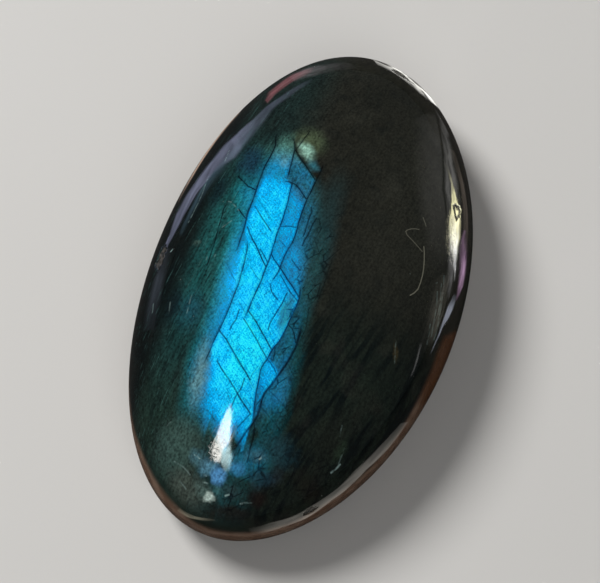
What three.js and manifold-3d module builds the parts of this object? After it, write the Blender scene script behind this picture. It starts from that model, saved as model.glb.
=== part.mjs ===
// A polished labradorite palm stone, all one piece: an elongated oval with a domed face, a
// rounded edge that curves under, a flat resting face and a few small chips in the polish.
// Millimetres, +Z up. The long axis is along Y, and the origin is under the middle of the
// stone, on the resting face.
import * as THREE from "three";
import { mergeVertices } from "three/addons/utils/BufferGeometryUtils.js";
import Module from "manifold-3d";

// Driving dimensions
const stoneLength = 66;
const stoneWidth = 38.4;
const thickness = 17.5;
const edgeHeight = 6; // level of the widest outline above the resting face
const edgeTilt = 0.5; // that level is this much higher towards +X and lower towards -X
const underCut = 3; // how far the resting face is set in from the widest outline
const lobing = 0.016; // share by which three soft lobes depart from a true ellipse
const domeFullness = 2.3; // 2 gives an ellipse, more a flatter middle and fuller shoulders

// Steps of the mesh
const aroundSteps = 96;
const domeSteps = 26;
const underSteps = 7;
const faceSteps = 3;

// Chips: around is the angle from +X towards +Y, out is the share of the way from the middle of
// the dome to the widest outline, and each chip's length runs along the edge
const chips = {
  edgeChip: { around: -172, out: 0.9, size: [3.6, 2.0], depth: 0.35 },
  tipChip: { around: 80, out: 0.93, size: [3.0, 1.3], depth: 0.2 },
  rimChip: { around: -59, out: 0.99, size: [2.2, 1.1], depth: 0.3 },
  shoulderNick: { around: 25.5, out: 0.881, size: [1.5, 0.8], depth: 0.12 },
};
const chipRoughness = 0.12; // share by which a chip's facets stand in or out

// A point of the widest outline, in the plan
function outlinePoint(around) {
  const lobe = 1 + lobing * Math.cos(3 * around);
  return new THREE.Vector2(
    (stoneWidth / 2) * Math.cos(around) * lobe - (lobing * stoneWidth) / 2,
    (stoneLength / 2) * Math.sin(around) * lobe,
  );
}

// Height of the domed face at a share of the way out
function domeLevel(out) {
  const rise = thickness - edgeHeight;
  return edgeHeight + rise * Math.sqrt(Math.max(0, 1 - out ** domeFullness));
}

// The widest level rides up on one side; the top and the resting face stay where they are
function tiltedLevel(level, around) {
  const share =
    level < edgeHeight
      ? level / edgeHeight
      : (thickness - level) / (thickness - edgeHeight);
  return level + edgeTilt * share * Math.cos(around);
}

// A point of the stone: out is a share of the outline's radius, and inset is in millimetres
function stonePoint(around, out, inset, level) {
  const rim = outlinePoint(around);
  rim.multiplyScalar(out * (1 - inset / rim.length()));
  return new THREE.Vector3(rim.x, rim.y, tiltedLevel(level, around));
}

function domePoint(around, out) {
  return stonePoint(around, out, 0, domeLevel(out));
}

// A place on the domed face with its directions along the edge and out of the stone, from two
// short steps along the surface
function domeFrame(around, out) {
  const step = 1e-3;
  const middle = domePoint(around, out);
  const along = domePoint(around + step, out).sub(middle).normalize();
  const inner = domePoint(around, out - step);
  const outward = middle.clone().sub(inner).cross(along).normalize();
  return { middle, along, outward };
}

// The section from the middle of the resting face, round the edge, to the top. Each entry is
// out, inset and level
function section() {
  const quarter = Math.PI / 2;
  const face = Array.from({ length: faceSteps }, (_, i) => [
    i / faceSteps,
    underCut,
    0,
  ]);
  const under = Array.from({ length: underSteps }, (_, i) => {
    const turn = (quarter * i) / underSteps;
    return [
      1,
      underCut * (1 - Math.sin(turn)),
      edgeHeight * (1 - Math.cos(turn)),
    ];
  });
  const dome = Array.from({ length: domeSteps + 1 }, (_, i) => {
    const out = Math.sin((quarter * (domeSteps - i)) / domeSteps);
    return [out, 0, domeLevel(out)];
  });
  return [...face, ...under, ...dome];
}

// A turned blank with the section's rows, then each vertex moved to its place on the stone
function stoneGeometry() {
  const rows = section();
  const blank = new THREE.LatheGeometry(
    rows.map(([out], i) => new THREE.Vector2(out, i)),
    aroundSteps,
  );
  const place = blank.getAttribute("position");
  for (let i = 0; i < place.count; i++) {
    const around = Math.atan2(place.getX(i), place.getZ(i));
    const [out, inset, level] = rows[Math.round(place.getY(i))];
    const p = stonePoint(around, out, inset, level);
    place.setXYZ(i, p.x, p.y, p.z);
  }
  return blank;
}

// A small faceted lump that cuts one chip: an uneven ball, flattened into the stone
function chipGeometry({ around, out, size, depth }) {
  const turn = THREE.MathUtils.degToRad(around);
  const [long, wide] = size;
  const lump = new THREE.IcosahedronGeometry(1, 2);
  const place = lump.getAttribute("position");
  for (let i = 0; i < place.count; i++) {
    const p = new THREE.Vector3().fromBufferAttribute(place, i);
    const wave = Math.sin(7 * p.x + 3 * around) * Math.sin(9 * p.y + 5 * p.z);
    p.multiplyScalar(1 + chipRoughness * wave);
    place.setXYZ(i, p.x, p.y, p.z);
  }
  const { middle, along, outward } = domeFrame(turn, out);
  const across = new THREE.Vector3().crossVectors(outward, along);
  const frame = new THREE.Matrix4().makeBasis(
    along.multiplyScalar(long / 2),
    across.multiplyScalar(wide / 2),
    outward.multiplyScalar(depth),
  );
  frame.setPosition(middle);
  return lump.applyMatrix4(frame);
}

const wasm = await Module();
wasm.setup();

// A closed geometry as a solid that can be joined and cut
function solidOf(geometry) {
  const bare = geometry.clone();
  bare.deleteAttribute("normal");
  bare.deleteAttribute("uv");
  const merged = mergeVertices(bare, 1e-4);
  return new wasm.Manifold(
    new wasm.Mesh({
      numProp: 3,
      vertProperties: merged.getAttribute("position").array,
      triVerts: new Uint32Array(merged.index.array),
    }),
  );
}

function geometryOf(solid) {
  const { vertProperties, triVerts } = solid.getMesh();
  const geometry = new THREE.BufferGeometry();
  geometry.setAttribute(
    "position",
    new THREE.BufferAttribute(vertProperties, 3),
  );
  geometry.setIndex(new THREE.BufferAttribute(triVerts, 1));
  geometry.computeVertexNormals();
  return geometry;
}

function chippedStone() {
  let solid = solidOf(stoneGeometry());
  for (const chip of Object.values(chips)) {
    solid = solid.subtract(solidOf(chipGeometry(chip)));
  }
  return geometryOf(solid);
}

const polishedStone = new THREE.MeshStandardMaterial({
  color: new THREE.Color(0.035, 0.055, 0.05),
  roughness: 0.12,
  metalness: 0,
});

const stone = new THREE.Mesh(chippedStone(), polishedStone);
stone.name = "labradorite_stone";

const part = new THREE.Group();
part.add(stone);

export default part;
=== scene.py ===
import math
from functools import reduce

import bmesh
import bpy
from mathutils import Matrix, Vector, noise


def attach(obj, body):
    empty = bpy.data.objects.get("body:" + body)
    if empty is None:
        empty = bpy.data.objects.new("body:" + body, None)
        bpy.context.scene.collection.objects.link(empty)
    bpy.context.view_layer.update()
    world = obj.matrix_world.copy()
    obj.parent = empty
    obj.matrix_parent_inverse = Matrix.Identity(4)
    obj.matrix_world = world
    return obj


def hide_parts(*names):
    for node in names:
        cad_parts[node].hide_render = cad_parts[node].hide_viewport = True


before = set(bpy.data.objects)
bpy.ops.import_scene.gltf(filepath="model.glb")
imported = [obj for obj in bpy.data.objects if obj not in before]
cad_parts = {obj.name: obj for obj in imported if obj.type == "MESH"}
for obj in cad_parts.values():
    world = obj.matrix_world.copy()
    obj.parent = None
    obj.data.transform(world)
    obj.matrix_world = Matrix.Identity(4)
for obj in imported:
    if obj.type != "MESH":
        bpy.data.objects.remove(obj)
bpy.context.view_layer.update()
mm = 0.001

# The stone's shape in millimetres, the same as its solid's
stoneShape = {
    "length": 66.0,
    "width": 38.4,
    "thickness": 17.5,
    "edgeHeight": 6.0,
    "edgeTilt": 0.5,
    "underCut": 3.0,
    "lobing": 0.016,
    "domeFullness": 2.3,
    "fineness": 7,  # subdivisions of the ball that it is shaped from
    "underShare": 0.36,  # share of the ball's lower half that makes the rounded underside
    "waviness": 0.012,  # what polishing by hand leaves, inwards
    "waveLength": 6.0,
    "calmHeight": 2.0,  # the waviness grows up to this height above the resting face
    "calmRadius": 5.0,  # and up to this distance from the middle
}

# Chips in the polish: around is the angle from +X, out the share of the way from the middle to
# the outline, then the length along the edge, the width across it and the depth. A ring is only
# a groove round its border
stoneChips = {
    "edgeChip": {"around": -172, "out": 0.9, "size": (3.6, 2.0), "depth": 0.32, "ring": False},
    "tipChip": {"around": 80, "out": 0.93, "size": (3.0, 1.3), "depth": 0.12, "ring": False},
    "rimChip": {"around": -59, "out": 0.99, "size": (2.2, 1.1), "depth": 0.26, "ring": False},
    "shoulderNick": {"around": 25.5, "out": 0.881, "size": (2.1, 1.35), "depth": 0.13, "ring": True},
}
chipCut = {
    "layer": "chipped",  # how far each place is chipped, for the material
    "cuts": 3,  # how finely the mesh is cut around a chip
    "near": 0.75,  # the part that is cut so, in lengths of the chip
    "border": ((1.7, 0.3), (4.3, 0.25)),  # fineness and share of each wave of the ragged border
    "floor": ((3.1, 0.4), (7.3, 0.25)),  # and of the rough floor
    "floorLevel": 0.6,
    "steepness": 2.2,
    "ring": (0.75, 0.2),  # where the groove runs, and half its width
    "corners": (0.22, 3, 0.5),  # of a ring: share, number and turn
}


def outlinePoint(around):
    lobe = 1 + stoneShape["lobing"] * math.cos(3 * around)
    shift = stoneShape["lobing"] * stoneShape["width"] / 2
    x = stoneShape["width"] / 2 * math.cos(around) * lobe - shift
    return Vector((x, stoneShape["length"] / 2 * math.sin(around) * lobe, 0))


def domeLevel(out):
    rise = stoneShape["thickness"] - stoneShape["edgeHeight"]
    return stoneShape["edgeHeight"] + rise * math.sqrt(max(0, 1 - out ** stoneShape["domeFullness"]))


def stonePoint(around, out, inset, level):
    rim = outlinePoint(around)
    place = rim * out * (1 - inset / rim.length)
    edge, top = stoneShape["edgeHeight"], stoneShape["thickness"]
    share = level / edge if level < edge else (top - level) / (top - edge)
    place.z = level + stoneShape["edgeTilt"] * share * math.cos(around)
    return place


def domePoint(around, out):
    return stonePoint(around, out, 0, domeLevel(out))


def shapedPoint(direction):
    # the ball's upper half makes the dome, and its lower half the underside and the flat face
    around = math.atan2(direction.y, direction.x)
    if direction.z >= 0:
        return domePoint(around, min(1, math.hypot(direction.x, direction.y)))
    below = math.asin(min(1, -direction.z)) / (math.pi / 2)
    share = stoneShape["underShare"]
    if below < share:
        turn = below / share * math.pi / 2
        inset = stoneShape["underCut"] * (1 - math.cos(turn))
        return stonePoint(around, 1, inset, stoneShape["edgeHeight"] * (1 - math.sin(turn)))
    return stonePoint(around, (1 - below) / (1 - share), stoneShape["underCut"], 0)


def chipFrame(chip):
    # a chip's middle and its directions along the edge, across it and out of the stone
    step = 0.001
    around = math.radians(chip["around"])
    middle = domePoint(around, chip["out"])
    along = (domePoint(around + step, chip["out"]) - middle).normalized()
    outwards = (middle - domePoint(around, chip["out"] - step)).cross(along).normalized()
    return middle, along, outwards.cross(along), outwards


def waves(place, kind):
    return sum(share * noise.noise(place * fineness) for fineness, share in chipCut[kind])


def chipReach(chip, axes, place):
    # 0 in the middle of a chip and 1 at its ragged border
    middle, along, across, outwards = axes
    offset = place - middle
    u = 2 * offset.dot(along) / chip["size"][0]
    v = 2 * offset.dot(across) / chip["size"][1]
    reach = math.hypot(u, v) + waves(place, "border")
    share, count, turn = chipCut["corners"]
    return reach * (1 + share * math.cos(count * math.atan2(v, u) + turn)) if chip["ring"] else reach


def chipShare(chip, reach):
    # how far a chip has cut in at a reach, from 0 to 1
    if chip["ring"]:
        middle, half = chipCut["ring"]
        return max(0, 1 - abs(reach - middle) / half)
    return min(1, max(0, chipCut["steepness"] * (1 - reach)))


def cutChips(stoneMesh):
    layer = stoneMesh.verts.layers.float.new(chipCut["layer"])
    for chip in stoneChips.values():
        middle, reach = chipFrame(chip)[0], chipCut["near"] * chip["size"][0]
        near = [edge for edge in stoneMesh.edges if (edge.verts[0].co - middle).length < reach]
        bmesh.ops.subdivide_edges(stoneMesh, edges=near, cuts=chipCut["cuts"], use_grid_fill=True)
    for chip in stoneChips.values():
        axes = chipFrame(chip)
        for vert in stoneMesh.verts:
            if (vert.co - axes[0]).length > chip["size"][0]:
                continue
            share = chipShare(chip, chipReach(chip, axes, vert.co))
            depth = chip["depth"] * (chipCut["floorLevel"] + waves(vert.co, "floor"))
            vert[layer] = max(vert[layer], share)
            vert.co -= axes[3] * depth * share


def addObject(name, data):
    made = bpy.data.objects.new(name, data)
    bpy.context.scene.collection.objects.link(made)
    return made


def meshObject(name, shape):
    mesh = bpy.data.meshes.new(name)
    shape.to_mesh(mesh)
    shape.free()
    return addObject(name, mesh)


def buildStone():
    print("stone mesh")
    stoneMesh = bmesh.new()
    bmesh.ops.create_icosphere(stoneMesh, subdivisions=stoneShape["fineness"], radius=1)
    for vert in stoneMesh.verts:
        place = shapedPoint(vert.co.normalized())
        wave = 0.5 + 0.5 * noise.noise(place / stoneShape["waveLength"])
        lift = min(1, place.z / stoneShape["calmHeight"])  # the resting face stays flat
        inwards = stoneShape["waviness"] * wave * lift
        place.xy *= 1 - inwards / max(stoneShape["calmRadius"], place.xy.length)
        if place.z > stoneShape["edgeHeight"]:
            place.z -= stoneShape["waviness"] * wave
        vert.co = place
    cutChips(stoneMesh)
    bmesh.ops.triangulate(stoneMesh, faces=stoneMesh.faces)
    bmesh.ops.recalc_face_normals(stoneMesh, faces=stoneMesh.faces)
    for face in stoneMesh.faces:
        face.smooth = True
    bmesh.ops.scale(stoneMesh, vec=(mm, mm, mm), verts=stoneMesh.verts)
    return meshObject("polishedStone", stoneMesh)


# Node helpers. They all add to the node tree on the bench
bench = {"tree": None}


def link(output, socket):
    bench["tree"].links.new(output, socket)


def addNode(kind, inputs=None, **settings):
    node = bench["tree"].nodes.new("ShaderNode" + kind)
    for name, value in settings.items():
        setattr(node, name, value)
    for name, value in (inputs or {}).items():
        socket = node.inputs[name]
        if isinstance(value, bpy.types.NodeSocket):
            link(value, socket)
        else:
            socket.default_value = (*value, 1) if socket.type == "RGBA" else value
    return node


def calc(operation, *values, clamp=False):
    return addNode("Math", dict(enumerate(values)), operation=operation, use_clamp=clamp).outputs[0]


def product(*values):
    return reduce(lambda first, second: calc("MULTIPLY", first, second), values)


def largest(*values):
    return reduce(lambda first, second: calc("MAXIMUM", first, second), values)


def added(*values):
    return reduce(lambda first, second: calc("ADD", first, second), values)


def calcVector(operation, *values, output=0):
    return addNode("VectorMath", dict(enumerate(values)), operation=operation).outputs[output]


def mapRange(kind, value, start, end, low, high):
    inputs = {"Value": value, "From Min": start, "From Max": end, "To Min": low, "To Max": high}
    return addNode("MapRange", inputs, interpolation_type=kind).outputs[0]


def fade(value, start, end, low=0.0, high=1.0):
    # low before start, high after end and smooth between
    return mapRange("SMOOTHSTEP", value, start, end, low, high)


def linear(value, start, end, low=0.0, high=1.0):
    return mapRange("LINEAR", value, start, end, low, high)


def blendColour(factor, first, second, how="MIX"):
    return addNode("Mix", {0: factor, 6: first, 7: second}, data_type="RGBA", blend_type=how).outputs[2]


def coords(value):
    return addNode("SeparateXYZ", {0: value}).outputs


def mapped(place, size, turn=0.0):
    # a place in units of a size across, along and up, turned about the vertical by degrees
    return addNode("Mapping", {"Vector": place, "Rotation": (0, 0, math.radians(turn)), "Scale": size},
                   vector_type="TEXTURE").outputs[0]


def placeInMillimetres():
    whole = addNode("TexCoord").outputs["Object"]
    return addNode("Mapping", {"Vector": whole, "Scale": (1 / mm, 1 / mm, 1 / mm)}).outputs[0]


def noiseValue(place, size, detail=2.0, turn=0.0):
    # noise whose features have a size in millimetres: one number, or across, along and up
    size = size if isinstance(size, tuple) else (size, size, size)
    inputs = {"Vector": mapped(place, size, turn), "Scale": 1.0, "Detail": detail}
    return addNode("TexNoise", inputs).outputs[0]


def noiseMask(place, size, detail, turn, start, end, low=0.0, high=1.0):
    return fade(noiseValue(place, size, detail, turn), start, end, low, high)


def shaken(place, plan, perMillimetre, detail, reach):
    # the plan moved about by noise, at most half its reach in millimetres
    shake = addNode("TexNoise", {"Vector": place, "Scale": perMillimetre, "Detail": detail}).outputs[1]
    shake = calcVector("SUBTRACT", shake, (0.5, 0.5, 0.5))
    return calcVector("MULTIPLY_ADD", shake, (reach, reach, 0.0), plan)


def newGroup(name, vectors, floats, result):
    # a group of its own goes on the bench
    group = bench["tree"] = bpy.data.node_groups.new(name, "ShaderNodeTree")
    for label in vectors + floats:
        kind = "NodeSocketVector" if label in vectors else "NodeSocketFloat"
        group.interface.new_socket(label, in_out="INPUT", socket_type=kind)
    group.interface.new_socket(result, in_out="OUTPUT", socket_type="NodeSocketFloat")
    return group.nodes.new("NodeGroupInput").outputs, group.nodes.new("NodeGroupOutput").inputs


def useGroup(name, inputs):
    return addNode("Group", inputs, node_tree=bpy.data.node_groups[name]).outputs[0]


def newMaterial(name, empty=True):
    # its tree goes on the bench
    material = bpy.data.materials.new(name)
    material.use_nodes = True
    bench["tree"] = material.node_tree
    if empty:
        material.node_tree.nodes.clear()
    return material


# The pattern in the stone. Places are in millimetres of the plan, along towards +Y and across
# towards +X, and every curve is a list of (along, value)
alongRange = (-34.0, 34.0)
acrossRange = (-20.0, 20.0)

# Borders of the strips of the blue flash, the labradorescent sheen painted into the stone's colour, and how
# soft each one is
softest = 2.0
flashBorders = {
    "sideEdge": {
        "line": [
            (-25, -6.9), (-20, -7.5), (-16, -7.9), (-13, -7.7), (-10, -7.5), (-7, -7.75), (-2.5, -8.0),
            (-1, -8.2), (0.5, -8.8), (3, -9.3), (5, -9.9), (13, -10.0)],
        "softness": 1.7,
    },
    "leftCrack": {
        "line": [
            (-25, -3.4), (-23.5, -4.2), (-22, -4.8), (-20.5, -5.25), (-19, -5.45), (-17.5, -5.85),
            (-16, -6.25), (-15, -6.6), (-13.3, -6.4), (-11.2, -6.2), (-9, -6.1), (-6.7, -6.05), (-5, -6.15),
            (-2.8, -6.4), (-1.6, -6.75), (-0.9, -7.1), (-0.3, -7.45), (0.6, -7.7), (3, -7.8), (6.5, -7.8),
            (9, -7.8), (12, -7.7), (16, -7.6)],
        "softness": [
            (-19, 1.4), (-17, 0.8), (-15.5, 0.3), (-14, 0.14), (-1.5, 0.2), (1, 0.5), (6.5, 0.5),
            (8.5, 0.8)],
    },
    "middleCrack": {
        "line": [
            (-11.2, -4.1), (-10.5, -3.95), (-9.5, -3.85), (-8, -3.8), (-7, -3.7), (-6, -3.6), (-4.5, -3.58),
            (-3, -3.56), (-1.5, -3.62), (0.4, -3.74), (2.5, -3.76), (4.5, -3.87), (5.8, -4.0), (7, -4.12),
            (7.5, -4.75), (8, -4.98), (9, -5.07), (10, -5.22), (11.3, -5.32), (12.2, -5.44), (13.5, -5.95)],
        "softness": 0.13,
    },
    "rightCrack": {
        "line": [
            (-12, -1.2), (-7.7, -2.0), (-6, -2.42), (-5.3, -2.28), (-4.6, -2.12), (-3.5, -2.05),
            (-2.3, -1.97), (-1.3, -1.9), (-0.6, -1.77), (0.3, -1.66), (1.1, -1.67), (2, -1.76), (3, -1.83),
            (4.4, -1.88), (5.8, -1.82), (7, -1.7), (8.6, -1.62), (10, -1.5), (11.4, -1.45)],
        "softness": 0.13,
    },
    "farCrack": {
        "line": [
            (-22.3, 0.55), (-21.4, 0.56), (-20.4, 0.36), (-19, 0.08), (-17.6, -0.04), (-16.8, -0.16),
            (-16.1, -0.25), (-15.4, -0.16), (-14.7, 0.04), (-13.9, 0.17), (-13.2, 0.34), (-12.4, 0.66),
            (-11.6, 0.82), (-10.8, 0.95), (-9.5, 1.12), (-8.2, 1.2), (-7.3, 1.25), (-6.3, 1.2), (-5.2, 0.9),
            (-4, 0.6), (-2, 0.35), (2, 0.0), (6, -0.3)],
        "softness": [(-12, 0.16), (-7, 0.2), (-4.5, 0.8), (0, 1.1)],
    },
    "outerCrack": {
        "line": [
            (-26.2, -0.7), (-24.5, -0.2), (-23.8, 0.06), (-23, 0.34), (-22, 0.76), (-21, 0.95),
            (-20.1, 1.0), (-19.2, 0.9), (-18.5, 0.98), (-17.6, 1.32), (-16.4, 1.7), (-15.4, 2.06),
            (-14.4, 2.32), (-13.3, 2.54), (-12.2, 2.68), (-11, 2.66), (-9.7, 2.56), (-8.1, 2.35)],
        "softness": [(-12, 0.2), (-10, 0.6), (-8, 1.1), (-3, 1.7)],
    },
    "outerEdge": {
        "line": [
            (-29, 2.6), (-26, 3.6), (-22, 3.8), (-18, 3.4), (-14, 3.3), (-10, 2.9), (-4, 2.5), (2, 2.0),
            (6, 1.2)],
        "softness": 1.3,
    },
}

# Strength of the flash in each strip between two of the borders. A slanted strip changes level
# on lines that run like the diagonal cracks. Each list ends on a level stretch
flashStrips = {
    "side": {
        "borders": ("sideEdge", "leftCrack"), "slant": 0.0, "levels": [
            (-25, 0.0), (-23, 0.08), (-20.5, 0.26), (-18, 0.32), (-14.5, 0.4), (-11.5, 0.64), (-8.5, 0.9),
            (-5.5, 1.0), (-3, 0.95), (-1.5, 0.72), (-0.3, 0.42), (0.8, 0.28), (2, 0.22), (3.5, 0.25),
            (5, 0.27), (6.5, 0.17), (8, 0.16), (9.5, 0.12), (11, 0.06), (14, 0.0), (15, 0.0)],
    },
    "left": {
        "borders": ("leftCrack", "middleCrack"), "slant": 0.0, "levels": [
            (-26, 0.0), (-25, 0.25), (-23.5, 0.78), (-22, 1.04), (-19, 1.13), (-12, 1.1), (-4, 1.04),
            (5, 0.98), (6.2, 0.95), (7.2, 0.78), (8.0, 0.52), (9.5, 0.42), (11, 0.33), (12.5, 0.15),
            (14, 0.07), (15.5, 0.0), (16.5, 0.0)],
    },
    "middle": {
        "borders": ("middleCrack", "rightCrack"), "slant": 0.88, "levels": [
            (-27.5, 0.0), (-26, 0.4), (-24, 1.06), (-21, 1.13), (-8, 1.08), (-5.9, 1.02), (-5.2, 0.76),
            (-3.6, 0.71), (-0.6, 0.71), (1, 0.68), (2.2, 0.68), (3.1, 0.5), (4.0, 0.24), (5.2, 0.2),
            (6.3, 0.26), (7.1, 0.1), (7.6, 0.0), (9, 0.0)],
    },
    "right": {
        "borders": ("rightCrack", "farCrack"), "slant": 0.88, "levels": [
            (-25, 0.0), (-23.8, 0.55), (-22, 1.02), (-18.6, 1.07), (-14, 1.08), (-8, 1.0), (-5.9, 0.94),
            (-5.2, 0.55), (-3.4, 0.62), (-1.9, 0.5), (-0.4, 0.33), (2.6, 0.22), (5, 0.12), (7, 0.03),
            (9, 0.0), (10, 0.0)],
    },
    "outer": {
        "borders": ("farCrack", "outerCrack"), "slant": 0.88, "levels": [
            (-22.5, 0.0), (-21, 0.18), (-19.6, 0.42), (-18, 0.62), (-16.6, 0.88), (-15.4, 0.98),
            (-14.5, 0.86), (-13.9, 0.34), (-12, 0.22), (-9, 0.17), (-6, 0.12), (-3, 0.07), (3, 0.05),
            (7, 0.0), (8, 0.0)],
    },
    "beyond": {
        "borders": ("outerCrack", "outerEdge"), "slant": 0.0, "levels": [
            (-28, 0.02), (-26.5, 0.16), (-25, 0.18), (-23.5, 0.06), (-21.5, 0.08), (-20.5, 0.14),
            (-19, 0.32), (-17.5, 0.36), (-16, 0.28), (-15, 0.16), (-13, 0.09), (-8, 0.05), (-4, 0.03),
            (2, 0.0), (4, 0.0)],
    },
}

# Long cracks: half width, and where each one begins and ends. Those without a line of their own
# follow the border of the same name
longCracks = {
    "upperCrack": {
        "width": 0.19, "from": -3.6, "to": 14.8, "line": [
            (-3.7, -7.8), (-2.4, -7.68), (-1.2, -7.7), (0.6, -7.8), (1.6, -7.92), (2.6, -8.02),
            (4.3, -8.02), (5.8, -8.06), (7, -8.14), (8.4, -8.18), (9.4, -8.15), (10.6, -7.98),
            (11.9, -7.92), (13.7, -8.3)],
    },
    "lowerCrack": {
        "width": 0.16, "from": -17.4, "to": -0.8, "line": [
            (-17.5, -6.9), (-16.4, -6.72), (-15.4, -6.6), (-14.4, -6.54), (-13.3, -6.4), (-12.3, -6.28),
            (-11.2, -6.19), (-10, -6.11), (-8.5, -6.07), (-6.7, -6.05), (-5.4, -6.14), (-4.1, -6.25),
            (-2.8, -6.44), (-1.8, -6.68), (-1, -6.88), (-0.4, -6.98)],
    },
    "topCrack": {
        "width": 0.17, "from": 7.3, "to": 14.6, "line": [
            (7.3, -4.8), (7.8, -4.95), (8.7, -5.02), (9.5, -5.14), (10.4, -5.25), (11.3, -5.32),
            (12.2, -5.46), (12.9, -5.7), (13.5, -5.97), (14.3, -6.4)],
    },
    "middleCrack": {
        "width": 0.17, "from": -11.3, "to": 8.6, "line": [
            (-11.2, -4.1), (-10.5, -3.95), (-9.5, -3.85), (-8, -3.8), (-7, -3.7), (-6, -3.6), (-4.5, -3.58),
            (-3, -3.56), (-1.5, -3.62), (0.4, -3.74), (2.5, -3.76), (4.5, -3.87), (5.8, -4.0), (7, -4.15),
            (8.3, -4.32)],
    },
    "rightCrack": {"width": 0.17, "from": -6.3, "to": 11.8},
    "farCrack": {"width": 0.17, "from": -22.4, "to": -4.7},
    "outerCrack": {"width": 0.24, "from": -26.0, "to": -9.0},
}
crackLook = {
    "core": 0.2,  # the share of its width in which a crack is fully dark
    "end": 1.5,  # the length over which a long crack fades out
    "shadowBeside": (0.5, 0.28),  # how much wider the painted shade beside a long crack is, and its strength
    # the painted shade beside the plain short cracks: how far it reaches, and its strength
    "shortShadowBeside": (0.55, 0.2),
    "glint": (0.33, 0.14),  # how far to the left of a long crack its painted glint, a bright thread, lies, and its width
}

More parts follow.
